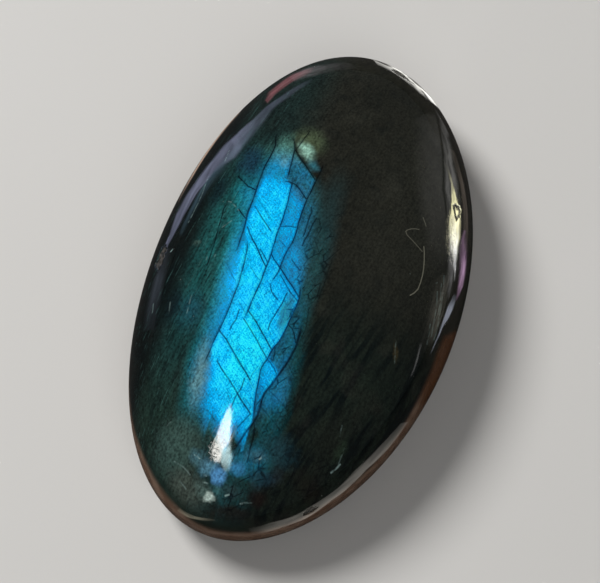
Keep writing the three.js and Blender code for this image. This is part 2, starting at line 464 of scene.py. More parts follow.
# Shorter cracks by how plain they are, each through its (across, along) places: half width, the
# distance within which they are full, and their strength
crackSets = {
    "plain": {
        "width": 0.16, "core": 0.032, "strength": 1.0, "lines": [
            [(-5.3, 12.1), (-4.5, 11.2), (-3.6, 10.4), (-2.75, 9.6), (-1.8, 8.7)],
            [(-5.0, 7.5), (-4.5, 7.5), (-3.7, 7.3), (-2.85, 6.6), (-1.95, 5.8)],
            [(-10.9, 7.1), (-10.05, 6.5), (-9.25, 5.9), (-8.2, 5.55)],
            [(-9.2, 2.5), (-8.3, 1.7), (-7.85, 1.4)],
            [(-7.4, 0.4), (-6.8, -0.5), (-6.2, -1.2), (-5.6, -1.8), (-4.75, -2.8), (-4.2, -3.5),
             (-3.6, -4.1)],
            [(-3.6, -2.3), (-2.9, -3.0), (-2.1, -3.7), (-1.3, -4.4), (-0.65, -5.0), (-0.1, -5.4),
             (0.55, -6.0), (1.2, -6.6)],
            [(-3.9, -9.8), (-3.2, -10.3), (-2.4, -11.0), (-1.7, -11.7), (-0.95, -12.4), (-0.45, -12.9),
             (0.2, -13.5)],
            [(-6.3, -12.9), (-5.2, -13.7), (-4.5, -14.4), (-3.65, -15.2), (-2.75, -16.0), (-1.9, -16.7),
             (-1.05, -17.5)],
            [(-2.1, -19.2), (-1.15, -20.0), (-0.4, -20.6), (0.2, -21.1)]],
    },
    "thin": {
        "width": 0.14, "core": 0.028, "strength": 0.85, "lines": [
            [(-4.55, 15.3), (-4.8, 14.3), (-5.05, 13.1), (-5.25, 12.3)],
            [(-7.5, 3.3), (-6.1, 1.9), (-4.5, 0.5)], [(-5.0, -2.1), (-4.35, -2.7), (-3.7, -3.4)],
            [(-3.6, 1.35), (-2.7, 1.7), (-1.9, 1.8)],
            [(-1.05, 4.9), (-0.75, 4.3), (-0.8, 3.4), (-0.75, 2.5), (-0.7, 1.5), (-0.75, 0.9)],
            [(0.05, 3.7), (-0.15, 2.8), (-0.2, 1.8), (-0.3, 1.1), (-0.45, 0.4), (-0.45, -0.3)],
            [(-1.0, -2.4), (-0.3, -3.0), (0.3, -3.4)],
            [(-1.75, -4.6), (-1.05, -5.2), (-0.5, -5.8), (0.05, -6.3), (0.65, -6.7), (1.15, -7.1)],
            [(-4.0, -10.9), (-3.1, -11.7), (-2.25, -12.5), (-1.6, -13.1), (-1.15, -13.6), (-0.3, -14.3),
             (0.2, -14.8)],
            [(0.3, -14.8), (1.15, -15.5), (1.6, -16.0)],
            [(-5.4, -16.4), (-4.5, -17.2), (-3.5, -18.0), (-2.1, -19.2)],
            [(-1.7, -17.5), (-1.75, -18.6), (-1.95, -19.4), (-2.05, -20.1), (-2.15, -21.0)],
            [(-0.25, -6.5), (-0.35, -7.3), (-0.45, -8.1), (-0.65, -9.0), (-0.85, -9.9), (-0.95, -10.7),
             (-0.9, -11.4)],
            [(-2.45, -6.0), (-2.1, -6.8), (-1.55, -7.3), (-1.1, -7.6)],
            [(-4.9, -10.0), (-4.85, -11.2), (-5.1, -11.9), (-5.15, -12.5)],
            [(1.0, -10.1), (1.6, -10.4), (2.1, -11.0), (2.5, -11.9)],
            [(0.45, -13.1), (0.65, -13.9), (0.7, -14.6)], [(0.1, -21.2), (-0.3, -22.0), (-0.75, -22.8)],
            [(0.9, -18.9), (0.45, -20.0), (0.6, -21.2), (1.2, -22.6), (1.4, -26.0)],
            [(-11.1, 2.6), (-10.9, 0.4), (-10.65, -2.0), (-10.45, -5.3)]],
    },
    "faint": {
        "width": 0.13, "core": 0.026, "strength": 0.5, "lines": [
            [(-2.4, 7.1), (-1.8, 7.2)], [(-7.65, 4.5), (-6.2, 3.2), (-4.9, 1.9)],
            [(-3.25, -0.4), (-2.65, -0.7), (-1.9, -1.2)], [(-8.3, -4.7), (-7.55, -5.5), (-6.75, -6.4)],
            [(-5.2, -9.1), (-4.5, -9.8), (-3.95, -10.3)], [(-4.7, -21.9), (-3.95, -22.4), (-3.45, -22.8)],
            [(-0.7, -15.8), (-1.0, -16.8), (-1.05, -17.5)], [(0.2, -17.65), (0.95, -18.1)],
            [(2.5, -14.5), (3.4, -15.5), (3.9, -15.8)],
            [(1.5, -18.1), (2.4, -18.5), (3.2, -18.9), (3.95, -19.4)],
            [(1.2, -20.1), (2.4, -20.8), (3.3, -21.3), (3.9, -21.7)],
            [(0.8, -13.0), (1.7, -13.6), (1.85, -14.3), (2.2, -14.8)], [(-2.7, -7.5), (-2.3, -6.9)],
            [(-5.15, -4.7), (-4.4, -5.4), (-3.7, -6.0)], [(-8.2, -11.6), (-7.3, -12.2)],
            [(-10.2, -9.2), (-9.2, -9.9)], [(-1.2, -17.5), (-0.4, -18.2)], [(-1.0, -19.6), (0.0, -20.3)],
            [(2.7, -7.4), (3.1, -10.0), (2.7, -13.0)], [(3.4, -1.0), (3.4, -7.0)],
            [(-8.9, 8.6), (-9.6, 9.6)], [(0.9, 0.6), (1.6, -0.4)]],
    },
}

# Painted glints: thin bright threads of reflected light in the flash, beside the cracks
glintThreads = {
    "width": 0.16, "core": 0.0, "strength": 1.0, "lines": [
        [(-7.5, -0.2), (-7.05, -0.8)], [(-6.25, -1.9), (-5.45, -2.3), (-4.7, -3.1), (-3.95, -3.8)],
        [(-1.35, -5.0), (-0.3, -6.0)], [(-3.85, -11.0), (-2.3, -12.3)],
        [(-7.25, 3.1), (-5.9, 1.7), (-4.65, 0.5)], [(-4.7, -11.4), (-4.05, -11.1)],
        [(-5.7, 10.6), (-5.8, 9.4)], [(0.2, -8.6), (0.6, -9.6)], [(-0.5, -18.2), (-0.3, -19.2)],
        [(-4.1, -15.0), (-3.8, -15.6)]],
}

# Pale marks on the polish: fine streaks, bright dashes and one fine curled line
paleMarks = {
    "streaks": {
        "width": 0.12, "core": 0.02, "strength": 0.14, "lines": [
            [(-10.4, -0.1), (-9.6, 0.9)], [(-11.3, 3.5), (-10.5, 3.4)], [(-10.2, 3.2), (-9.2, 2.4)],
            [(-10.85, -4.6), (-10.85, -3.9)], [(-10.05, -4.3), (-9.95, -3.8)],
            [(-11.1, -8.9), (-10.8, -11.8)], [(-15.8, -9.6), (-15.35, -11.5)],
            [(-13.4, -10.2), (-13.1, -11.6)], [(-6.75, -27.8), (-5.5, -28.2), (-4.5, -28.8)],
            [(-5.45, -29.6), (-4.55, -30.2)], [(2.15, -29.9), (3.1, -29.6)], [(13.1, -7.2), (13.7, -9.6)],
            [(10.2, -18.6), (10.3, -19.7)], [(11.2, -20.6), (11.0, -22.4)], [(-8.9, -24.5), (-8.5, -23.9)],
            [(16.0, 3.4), (16.5, 1.2), (16.8, -0.9), (17.05, -3.0), (17.1, -4.9)],
            [(15.8, 1.0), (16.2, -0.4), (16.5, -2.5), (16.7, -4.4)], [(16.2, -3.1), (16.5, -5.4)],
            [(16.0, 2.2), (16.4, 0.4), (16.7, -1.4)], [(-14.85, 7.2), (-14.7, 5.0), (-14.7, 3.5)],
            [(-14.7, 3.2), (-14.85, 1.8), (-15.0, 0.4)], [(-13.5, 11.2), (-13.5, 9.5)]],
    },
    "dashes": {
        "width": 0.14, "core": 0.02, "strength": 0.5, "lines": [
            [(-4.8, -26.8), (-4.4, -26.8), (-3.9, -27.0)], [(-2.8, -29.2), (-2.3, -29.2)],
            [(-3.2, -28.4), (-2.65, -28.5)], [(0.05, -29.8), (0.4, -29.6)], [(1.9, -30.1), (2.1, -30.0)],
            [(2.6, -25.3), (2.9, -24.9)], [(11.2, -22.3), (10.5, -23.5)], [(15.35, 1.9), (15.45, 2.05)],
            [(-15.9, -3.5), (-15.75, -3.2)]],
    },
}
hairLines = {
    "curl": {
        "width": 0.09, "core": 0.02, "strength": 0.52, "lines": [
            [(12.8, 5.3), (13.1, 4.5), (13.35, 3.6), (13.55, 2.7), (13.68, 1.8), (13.72, 0.8),
             (13.68, -0.1), (13.4, -0.8), (13.05, -1.3)]],
    },
    "ends": {
        "width": 0.09, "core": 0.02, "strength": 0.28, "lines": [
            [(11.65, 7.1), (11.2, 6.95), (10.8, 6.7), (10.4, 6.3), (10.3, 6.05), (10.55, 5.7), (11.6, 5.2),
             (12.8, 4.6)],
            [(11.65, 8.9), (12.3, 8.0)]],
    },
}

# Soft patches in the stone: middle and half sizes across and along, turn in degrees, how much of
# it is full, strength and tint
patches = {
    "greenGlow": ((-4.1, 13.8), (3.0, 2.7), -25, 0.0, 0.8, (0.075, 0.105, 0.055)),
    "greenSpot": ((-4.0, 12.3), (1.25, 2.3), 48, 0.1, 0.95, (0.24, 0.44, 0.35)),
    "blueHem": ((-2.6, 10.6), (0.9, 1.7), 48, 0.0, 0.7, (0.03, 0.15, 0.19)),
    "paleCell": ((-6.0, 10.2), (0.8, 1.6), 15, 0.0, 0.35, (0.15, 0.35, 0.4)),
    # a painted sheen: a soft pale grey veil of reflected light beside the flash
    "paintedGreySheen": ((-6.9, -18.2), (1.5, 5.4), 8, 0.1, 0.85, (0.1, 0.225, 0.25)),
    "paleLow": ((-6.7, -26.2), (4.2, 4.6), -15, 0.2, 0.78, (0.038, 0.074, 0.064)),
    "paleToe": ((-4.4, -30.2), (3.8, 2.2), -25, 0.3, 0.8, (0.051, 0.067, 0.055)),
    "navyTop": ((-10.0, 9.4), (2.4, 3.6), 10, 0.2, 0.88, (0.006, 0.023, 0.042)),
    "nightShoulder": ((-12.5, 5.0), (1.5, 3.6), 0, 0.2, 0.85, (0.003, 0.011, 0.014)),
    "nightLow": ((-12.9, -10.5), (1.4, 3.6), 0, 0.2, 0.85, (0.003, 0.008, 0.01)),
    "greenBand": ((11.6, -14.5), (1.9, 6.0), -16, 0.1, 0.6, (0.013, 0.019, 0.013)),
    "greenLow": ((9.4, -20.4), (3.0, 5.0), -14, 0.1, 0.5, (0.0165, 0.02, 0.0135)),
    "brownLow": ((8.6, -26.0), (3.0, 2.2), -30, 0.1, 0.55, (0.0135, 0.0115, 0.0075)),
    "blueShade": ((-10.4, -11.0), (2.6, 3.6), 5, 0.0, 0.6, (0.008, 0.05, 0.076)),
    "cloudyCell": ((0.35, -8.8), (0.95, 3.6), 4, 0.3, 0.7, (0.02, 0.13, 0.175)),
    "tealHaze": ((0.9, 4.5), (2.6, 8.5), 0, 0.0, 0.7, (0.012, 0.034, 0.036)),
    "footHaze": ((4.4, -23.9), (3.0, 2.6), 0, 0.1, 0.8, (0.012, 0.044, 0.056)),
    "navyFoot": ((3.6, -26.9), (2.6, 1.3), 20, 0.1, 0.7, (0.012, 0.034, 0.05)),
    "leftFoot": ((-4.3, -26.9), (1.4, 1.2), 0, 0.1, 0.8, (0.052, 0.135, 0.165)),
    "paleFoot": ((-2.7, -27.6), (1.6, 1.2), 25, 0.1, 0.9, (0.085, 0.225, 0.31)),
    "violetFoot": ((-1.35, -28.2), (1.35, 1.15), -20, 0.35, 1.0, (0.075, 0.245, 0.47)),
    "tealToe": ((-0.9, -29.5), (1.3, 0.9), 0, 0.1, 0.85, (0.036, 0.12, 0.125)),
    "toeHaze": ((0.7, -29.2), (2.0, 1.0), 0, 0.1, 0.75, (0.026, 0.056, 0.058)),
    "brownToe": ((0.9, -31.4), (3.6, 1.3), 12, 0.4, 0.85, (0.011, 0.0092, 0.0072)),
    "blueStem": ((1.25, -25.2), (0.6, 1.3), -20, 0.1, 0.8, (0.024, 0.12, 0.18)),
    "paleNet": ((2.4, -25.1), (1.4, 1.1), 15, 0.1, 0.7, (0.038, 0.11, 0.145)),
    "blueFoot": ((0.6, -26.9), (1.35, 1.05), 15, 0.25, 1.0, (0.028, 0.165, 0.31)),
    "redStain": ((3.6, -29.0), (1.7, 1.3), 20, 0.2, 0.7, (0.011, 0.005, 0.004)),
    "greyFoot": ((-2.7, -29.9), (1.7, 0.9), -20, 0.0, 0.7, (0.078, 0.13, 0.115)),
    "whiteFlaw": ((-1.7, -30.5), (1.0, 0.62), 10, 0.35, 0.95, (0.46, 0.58, 0.52)),
    "leftSmudge": ((-12.8, -2.5), (0.7, 0.6), 0, 0.1, 0.3, (0.1, 0.16, 0.13)),
    "brownStreak": ((13.4, -8.4), (0.5, 1.6), 20, 0.1, 0.6, (0.055, 0.042, 0.018)),
    "greenStreak": ((10.8, -21.2), (0.8, 2.6), -10, 0.0, 0.5, (0.03, 0.056, 0.032)),
    "darkKnot": ((0.85, -19.9), (0.4, 0.9), 0, 0.1, 0.5, (0.004, 0.02, 0.034)),
    "darkFork": ((1.3, -23.3), (0.6, 2.0), 0, 0.2, 0.75, (0.005, 0.011, 0.006)),
    "darkStem": ((-0.2, -25.3), (0.4, 1.3), -12, 0.2, 0.75, (0.006, 0.03, 0.036)),
    "darkRib": ((4.1, -18.0), (0.5, 4.6), 3, 0.2, 0.6, (0.003, 0.007, 0.004)),
}

# Worn places in the polish, with fine pits that break up what it mirrors: middle, half sizes,
# turn and how much of it is full
wornSpots = {
    "shoulderWear": ((15.3, 8.6), (0.95, 4.2), 17, 0.2),
    "footWear": ((-2.6, -25.8), (0.9, 1.6), 20, 0.2),
}

# Where things show: the measures along which they fade, from where to where, and between which
# levels if not from 0 to 1. All are in millimetres, apart from around, which is in radians
zones = {
    "face": [("height", 7.5, 10.0)],
    "crazeRight": [("across", -1.0, 0.8), ("across", 6.0, 2.0), ("along", 8.0, 3.0)],
    "crazeFoot": [("along", -19.0, -24.0), ("across", -3.0, 0.0, 0.0, 0.7)],
    "crazeSide": [("across", -12.0, -8.0, 0.0, 0.2), ("across", 9.0, 5.0)],
    "low": [("along", -1.0, -13.0)],
    "left": [("across", -2.0, -8.0)],
    "lowLeft": [("along", -13.0, -22.0)],
    "leftRim": [("across", -11.5, -14.8)],
    "teal": [("across", -4.0, -8.5), ("across", -14.5, -10.5)],
    "rightStreaks": [("along", -1.0, -13.0, 0.1, 0.95), ("across", 0.0, 5.0)],
    "leftStreaks": [("across", -7.0, -10.0, 0.0, 0.6)],
    "fineThreads": [("across", -7.5, -9.0, 0.0, 0.3)],
    "rightCloud": [("across", 2.0, 9.0), ("along", -8.0, 2.0, 0.0, 0.3)],
    "cloud": [("across", -9.0, -4.0, 0.2, 1.0)],
    "fibres": [("across", -6.0, 2.0, 1.05, 0.75)],
    "lowFibres": [("across", -6.0, 2.0), ("along", -8.0, -18.0, 0.0, 0.15)],
    "greenTop": [("along", 9.0, 13.5)],
    "under": [("height", 8.0, 5.0, 0.0, 0.9)],
    "rim": [("height", 0.6, 2.6)],
    # the lower right of the edge, painted darker as shade where it mirrors the stone's shadow on the floor
    "shadedWedge": [("around", -0.64, -0.50), ("around", 0.25, 0.0, 0.0, 0.8)],
}

# Masks of noise: feature size, detail, turn in degrees, and the noise levels where the mask
# starts and is full, between two levels of its own if not 0 and 1
patterns = {
    "crackThinning": (1.3, 2.0, 0, 0.25, 0.6, 0.78, 1.0),
    "crazeParts": (2.2, 2.0, 0, 0.42, 0.62),
    "rightStreaks": ((0.8, 7.0, 2.0), 3.0, -14, 0.42, 0.60),
    "leftStreaks": ((0.6, 4.5, 2.0), 3.0, -9, 0.42, 0.66),
    "mottle": ((1.7, 2.2, 1.7), 4.0, 0, 0.42, 0.72, 0.0, 0.4),
    "fineThreads": ((0.20, 6.0, 1.0), 2.0, -9, 0.60, 0.74),
    "cloud": ((3.4, 4.2, 3.4), 4.0, 0, 0.5, 0.75, 0.0, 0.4),
    "cyanDrift": ((1.4, 2.4, 1.0), 3.0, 0, 0.38, 0.68, 0.0, 0.3),
    "brokenMarks": (0.6, 2.0, 0, 0.35, 0.6),
    "clearRim": ((1.8, 1.8, 1.2), 4.0, 0, 0.34, 0.62, 0.0, 0.6),
    "chipCrumbs": (0.45, 3.0, 0, 0.35, 0.65),
    "scuffs": ((0.25, 4.0, 1.0), 3.0, -12, 0.50, 0.75),
    "pits": ((0.30, 0.16, 0.2), 2.0, 0, 0.54, 0.68),
}

# Noise that lightens and darkens: feature size, detail, turn, and how far it goes either way
swings = {
    "strands": ((0.24, 1.6, 1.0), 2.0, -10, -0.20, 0.22),
    "crumbs": ((0.26, 0.34, 0.34), 4.0, 0, -0.50, 0.50),
    "flecks": ((0.17, 0.21, 1.0), 1.5, 20, -0.30, 0.30),
    "slantedStrokes": ((0.17, 1.5, 1.0), 1.0, 48, -0.20, 0.18),
    "strokes": ((0.2, 1.3, 1.0), 1.0, -10, -0.17, 0.13),
    "cloudiness": ((1.8, 2.6, 1.0), 2.0, 0, -0.13, 0.11),
}
swingLevels = (0.3, 0.7)  # the noise levels between which it swings
darkestFibre = 0.1

stoneColours = {
    "body": (0.0145, 0.015, 0.011),
    "bodyLow": (0.0095, 0.015, 0.0108),
    "left": (0.008, 0.018, 0.016),
    "leftLow": (0.01, 0.023, 0.0175),
    "teal": (0.0095, 0.08, 0.079),
    "night": (0.0016, 0.004, 0.0042),
    "cloud": (0.028, 0.0285, 0.0215),
    "thread": (0.05, 0.13, 0.12),
    "under": (0.011, 0.014, 0.011),
    "crack": (0.08, 0.12, 0.17),
    "pale": (0.2, 0.25, 0.22),
    "bright": (0.42, 0.6, 0.57),
    "hair": (0.3, 0.29, 0.22),
    "chip": (0.085, 0.075, 0.065),
}
rimColours = {
    "clear": (0.175, 0.115, 0.082),
    "deep": (0.075, 0.034, 0.018),
    "shadedWedge": (0.07, 0.024, 0.006),
# painted shade: the brown edge is darker and redder on its lower right
}

# Height in millimetres up to which the edge is brown and half clear, by the angle from +X
rimTopRange = (5.0, 13.0)
rimTops = [
    (-180, 6.2), (-150, 6.6), (-120, 7.6), (-108, 8.2), (-100, 8.0), (-92, 7.2), (-80, 7.2), (-65, 7.8),
    (-50, 8.2), (-35, 9.2), (-22, 10.0), (-12, 10.4), (-8, 9.8), (-3, 8.2), (1, 6.8), (15, 6.4), (90, 6.2),
    (180, 6.2)]

# How strongly the teal shows along the left side
tealLevels = [
    (-24, 0.0), (-19, 0.12), (-15, 0.32), (-11, 0.62), (-6, 0.82), (-3, 1.0), (3, 1.0), (5, 0.8), (7, 0.55),
    (9.5, 0.3), (11, 0.2), (15, 0.0)]

# The flash's colour by its level, a painted sheen added to the stone's own
flashTop = 1.3  # the grain takes the level up to this
flashRamp = [
    (0.0, (0.0, 0.0, 0.0)),
    (0.05, (0.0, 0.036, 0.046)),
    (0.16, (0.0, 0.080, 0.138)),
    (0.37, (0.0, 0.148, 0.315)),
    (0.5, (0.0, 0.196, 0.430)),
    (0.83, (0.0, 0.332, 0.770)),
    (1.0, (0.0, 0.445, 0.960)),
    (flashTop, (0.020, 0.660, 1.0)),
]
flashLook = {
    "cyan": (1.0, 1.42, 0.99),
    "top": (0.30, 0.78, 0.62),
    "heart": ((-2.6, -14.8), (2.97, 8.8), 0, 0.18),  # where it is most cyan
    "heartShare": 0.62,
    "upper": ((-5.6, 0.0), (2.2, 12.1), 0, 0.18),
    "upperShare": 0.2,
    "glints": 0.28,
    "under": (0.0, 0.02, 0.02),  # what is left of the stone's own colour under a full flash
    "hides": (0.3, 0.9),  # the levels of the flash where it begins and ends to hide that colour
    "calms": (0.1, 0.8),  # and where the fibres of the dark stone stop
}

# Noise that moves the pattern: how fine per millimetre, its detail, and how far in millimetres
shakes = {
    "waver": (0.55, 1.5, 0.14),  # of every line
    "fray": (0.9, 4.0, 1.3),  # of the patches' borders
}

specks = {
    "perMillimetre": 0.55,
    "halfSize": (0.03, 0.08),
    "leftOut": 0.55,
    "strength": 0.30,
}
chipLook = {
    "border": (0.15, 0.7),
    "strength": 0.9,
}
rimBorder = (-0.5, 0.7)  # how far above and below its top the brown edge fades, in millimetres

# The polish: how dull each thing makes it, and how far each stands out or is sunk in
polish = {
    "roughness": 0.055,
    "ior": 1.56,
    "dull": {"specks": 0.35, "scuffs": 0.06, "chips": 0.5},
    "relief": {"waves": 0.12, "chipFloor": 0.5, "specks": -0.12, "scuffs": -0.015, "hair": -0.05,
               "pits": -0.15},
    "waveSize": 3.0,
    "bump": 0.6,
    "bumpDepth": 0.1,
}


def makeLinePiece():
    # the distance to one straight piece of a drawn line, or to a nearer one before it
    given, result = newGroup("linePiece", ["Place", "Start", "Way"], ["Length", "Nearest"], "Nearest")
    offset = calcVector("SUBTRACT", given["Place"], given["Start"])
    reach = calcVector("DOT_PRODUCT", offset, given["Way"], output=1)
    reach = calc("MINIMUM", calc("MAXIMUM", reach, 0.0), given["Length"])
    foot = addNode("VectorMath", {0: given["Way"], "Scale": reach}, operation="SCALE").outputs[0]
    distance = calcVector("DISTANCE", offset, foot, output=1)
    link(calc("MINIMUM", distance, given["Nearest"]), result[0])


def makeFlashStrip():
    # one strip of the flash: full between its two borders, with its own softness at each
    given, result = newGroup("flashStrip", [], [
        "Across", "Left", "Right", "Left softness", "Right softness", "Strength"], "Level")
    level = given["Strength"]
    for side, first, second in [("Left", "Across", "Left"), ("Right", "Right", "Across")]:
        inside = calc("SUBTRACT", given[first], given[second])
        soft = given[side + " softness"]
        level = product(level, fade(inside, calc("MULTIPLY", soft, -1.0), soft))
    link(level, result[0])


def makeLongCrack():
    # a long crack that follows a curve: dark within its width, and faded out at its two ends
    given, result = newGroup("longCrack", [], ["Across", "Line", "Width", "Along", "Bottom", "Top"], "Mask")
    distance = calc("ABSOLUTE", calc("SUBTRACT", given["Across"], given["Line"]))
    dark = fade(distance, given["Width"], calc("MULTIPLY", given["Width"], crackLook["core"]))
    low = fade(calc("SUBTRACT", given["Along"], given["Bottom"]), 0.0, crackLook["end"])
    high = fade(calc("SUBTRACT", given["Top"], given["Along"]), 0.0, crackLook["end"])
    link(product(dark, low, high), result[0])


def makeSoftPatch():
    # an oval patch that fades out from its middle, turned about the vertical
    given, result = newGroup("softPatch", ["Place", "Middle", "Turn", "Size"], ["Core"], "Mask")
    inputs = {"Vector": given["Place"], "Location": given["Middle"], "Rotation": given["Turn"],
              "Scale": given["Size"]}
    local = addNode("Mapping", inputs, vector_type="TEXTURE").outputs[0]
    link(fade(calcVector("LENGTH", local, output=1), 1.0, given["Core"]), result[0])


def softPatch(place, middle, size, turn, core):
    return useGroup("softPatch", {"Place": place, "Middle": (*middle, 0), "Turn": (0, 0, math.radians(turn)),
                                  "Size": (*size, 1), "Core": core})


def drawnCurve(share, points, span, low, high):
    # a value that follows a drawn curve of points; share is 0 to 1 over the span
    node = addNode("FloatCurve", {"Value": share})
    curve = node.mapping.curves[0]
    scaled = [((at - span[0]) / (span[1] - span[0]), (value - low) / (high - low)) for at, value in points]
    curve.points[0].location, curve.points[1].location = scaled[0], scaled[-1]
    for location in scaled[1:-1]:
        curve.points.new(*location)
    for point in curve.points:
        point.handle_type = "AUTO_CLAMPED"
    node.mapping.extend = "HORIZONTAL"
    node.mapping.update()
    return linear(node.outputs[0], 0.0, 1.0, low, high)


def colourRamp(value, stops):
    span = stops[-1][0]
    ramp = addNode("ValToRGB", {"Fac": calc("DIVIDE", value, span)})
    elements = ramp.color_ramp.elements
    elements[0].color, elements[1].color = (*stops[0][1], 1), (*stops[-1][1], 1)
    for position, tint in stops[1:-1]:
        elements.new(position / span).color = (*tint, 1)
    return ramp.outputs[0]


def zone(measures, name):
    return product(*[fade(measures[measure], *limits) for measure, *limits in zones[name]])


def pattern(place, name):
    return noiseMask(place, *patterns[name])


def swing(place, name):
    size, detail, turn, low, high = swings[name]
    return linear(noiseValue(place, size, detail, turn), *swingLevels, low, high)


farAway = 99.0


def nearestLine(place, lines):
    # how far a place is from the nearest of some drawn lines, in millimetres
    nearest = farAway
    for line in lines:
        for first, second in zip(line, line[1:]):
            start = Vector((*first, 0))
            way = Vector((*second, 0)) - start
            nearest = useGroup("linePiece", {"Place": place, "Start": start, "Way": way.normalized(),
                                             "Length": way.length, "Nearest": nearest})
    return nearest


def lineMask(distance, lineSet):
    return fade(distance, lineSet["width"], lineSet["core"], 0.0, lineSet["strength"])


def linesMask(place, lineSets):
    masks = [lineMask(nearestLine(place, lineSet["lines"]), lineSet) for lineSet in lineSets.values()]
    return largest(*masks)


def drawBorders(alongShare):
    borders = {}
    for name, border in flashBorders.items():
        softness = border["softness"]
        if isinstance(softness, list):
            softness = drawnCurve(alongShare, softness, alongRange, 0.0, softest)
        borders[name] = drawnCurve(alongShare, border["line"], alongRange, *acrossRange), softness
    return borders


def flashLevel(measures, borders):
    # the flash, strip by strip between the long cracks; neighbours meet without a seam
    levels = []
    for strip in flashStrips.values():
        position = measures["along"]
        if strip["slant"]:
            position = calc("MULTIPLY_ADD", measures["across"], strip["slant"], position)
        share = linear(position, *alongRange)
        (left, leftSoft), (right, rightSoft) = (borders[name] for name in strip["borders"])
        levels.append(useGroup("flashStrip", {
            "Across": measures["across"], "Left": left, "Right": right, "Left softness": leftSoft,
            "Right softness": rightSoft,
            "Strength": drawnCurve(share, strip["levels"], alongRange, 0.0, flashTop)}))
    return added(*levels)


def crackMasks(flat, measures, alongShare, borders):
    # dark cracks with painted shade beside them, and painted glints, thin bright threads, beside them
    dark, glints = [], []
    wider, shade = crackLook["shadowBeside"]
    beside, glintWidth = crackLook["glint"]
    for name, crack in longCracks.items():
        line = drawnCurve(alongShare, crack["line"], alongRange, *acrossRange) if "line" in crack else (
            borders[name][0])
        spec = {"Across": measures["across"], "Line": line, "Width": crack["width"],
                "Along": measures["along"], "Bottom": crack["from"], "Top": crack["to"]}
        dark.append(useGroup("longCrack", spec))
        # painted shade in a wider band along the crack
        dark.append(product(useGroup("longCrack", {**spec, "Width": crack["width"] + wider}), shade))
        glint = {**spec, "Line": calc("SUBTRACT", line, beside), "Width": glintWidth}
        glints.append(useGroup("longCrack", glint))
    for name, crackSet in crackSets.items():
        distance = nearestLine(flat, crackSet["lines"])
        dark.append(lineMask(distance, crackSet))
        # the plain short cracks get painted shade beside them too
        if name == "plain":
            wide, shade = crackLook["shortShadowBeside"]
            dark.append(fade(distance, wide, 0.0, 0.0, shade))
    glints.append(lineMask(nearestLine(flat, glintThreads["lines"]), glintThreads))
    thinning = pattern(flat, "crackThinning")
    return product(largest(*dark), thinning), product(largest(*glints), thinning)


# A net of hair-fine cracks: cell size, turn, half width and strength
crazeNet = {"size": (0.95, 1.9, 1.0), "turn": -28, "width": 0.10, "strength": 0.9}


def crazing(flat, measures):
    # strongest right of the flash and at its foot
    cells = mapped(flat, crazeNet["size"], crazeNet["turn"])
    net = addNode("TexVoronoi", {"Vector": cells, "Scale": 1.0}, feature="DISTANCE_TO_EDGE").outputs[0]
    net = fade(net, crazeNet["width"], 0.0, 0.0, crazeNet["strength"])
    where = largest(*[zone(measures, name) for name in ("crazeRight", "crazeFoot", "crazeSide")])
    return product(net, pattern(flat, "crazeParts"), where)


def bodyColour(place, measures, alongShare):
    # dark brown-black on the right, green and teal on the left, with slanted streaks
    tints = stoneColours
    tint = blendColour(zone(measures, "low"), tints["body"], tints["bodyLow"])
    leftTint = blendColour(zone(measures, "lowLeft"), tints["left"], tints["leftLow"])
    tint = blendColour(zone(measures, "left"), tint, leftTint)
    teal = drawnCurve(alongShare, tealLevels, alongRange, 0.0, 1.0)
    tint = blendColour(product(teal, zone(measures, "teal")), tint, tints["teal"])
    sides = ("rightStreaks", "leftStreaks")
    streaks = [product(pattern(place, side), zone(measures, side)) for side in sides]
    dark = largest(*streaks, pattern(place, "mottle"), zone(measures, "leftRim"))
    tint = blendColour(dark, tint, tints["night"])
    fineThreads = product(pattern(place, "fineThreads"), zone(measures, "fineThreads"))
    tint = blendColour(fineThreads, tint, tints["thread"])
    cloud = added(pattern(place, "cloud"), zone(measures, "rightCloud"))
    return blendColour(product(cloud, zone(measures, "cloud")), tint, tints["cloud"])


def fibres(place, measures):
    # the fine fibrous look of the dark stone, stronger on the left and towards the foot
    strength = added(zone(measures, "lowFibres"), zone(measures, "fibres"))
    swung = added(swing(place, "strands"), swing(place, "crumbs"))
    return calc("MAXIMUM", darkestFibre, calc("MULTIPLY_ADD", swung, strength, 1.0))


def grain(flat, flash):
    # fine flecks, strokes along the stone and along the slanted cracks, and a broad cloudiness
    swung = added(*[swing(flat, name) for name in ("flecks", "slantedStrokes", "strokes", "cloudiness")])
    return calc("MULTIPLY_ADD", flash, swung, flash)


def flashColour(flat, measures, level):
    # painted sheen of the flash: blue, in places cyan, and greenish at the strips' upper ends
    tint = colourRamp(level, flashRamp)
    heart = product(softPatch(flat, *flashLook["heart"]), flashLook["heartShare"])
    upper = product(softPatch(flat, *flashLook["upper"]), flashLook["upperShare"])
    cyan = calc("ADD", pattern(flat, "cyanDrift"), added(heart, upper), clamp=True)
    tint = blendColour(cyan, tint, flashLook["cyan"], "MULTIPLY")
    top = blendColour(level, (0, 0, 0), flashLook["top"])
    return blendColour(zone(measures, "greenTop"), tint, top)


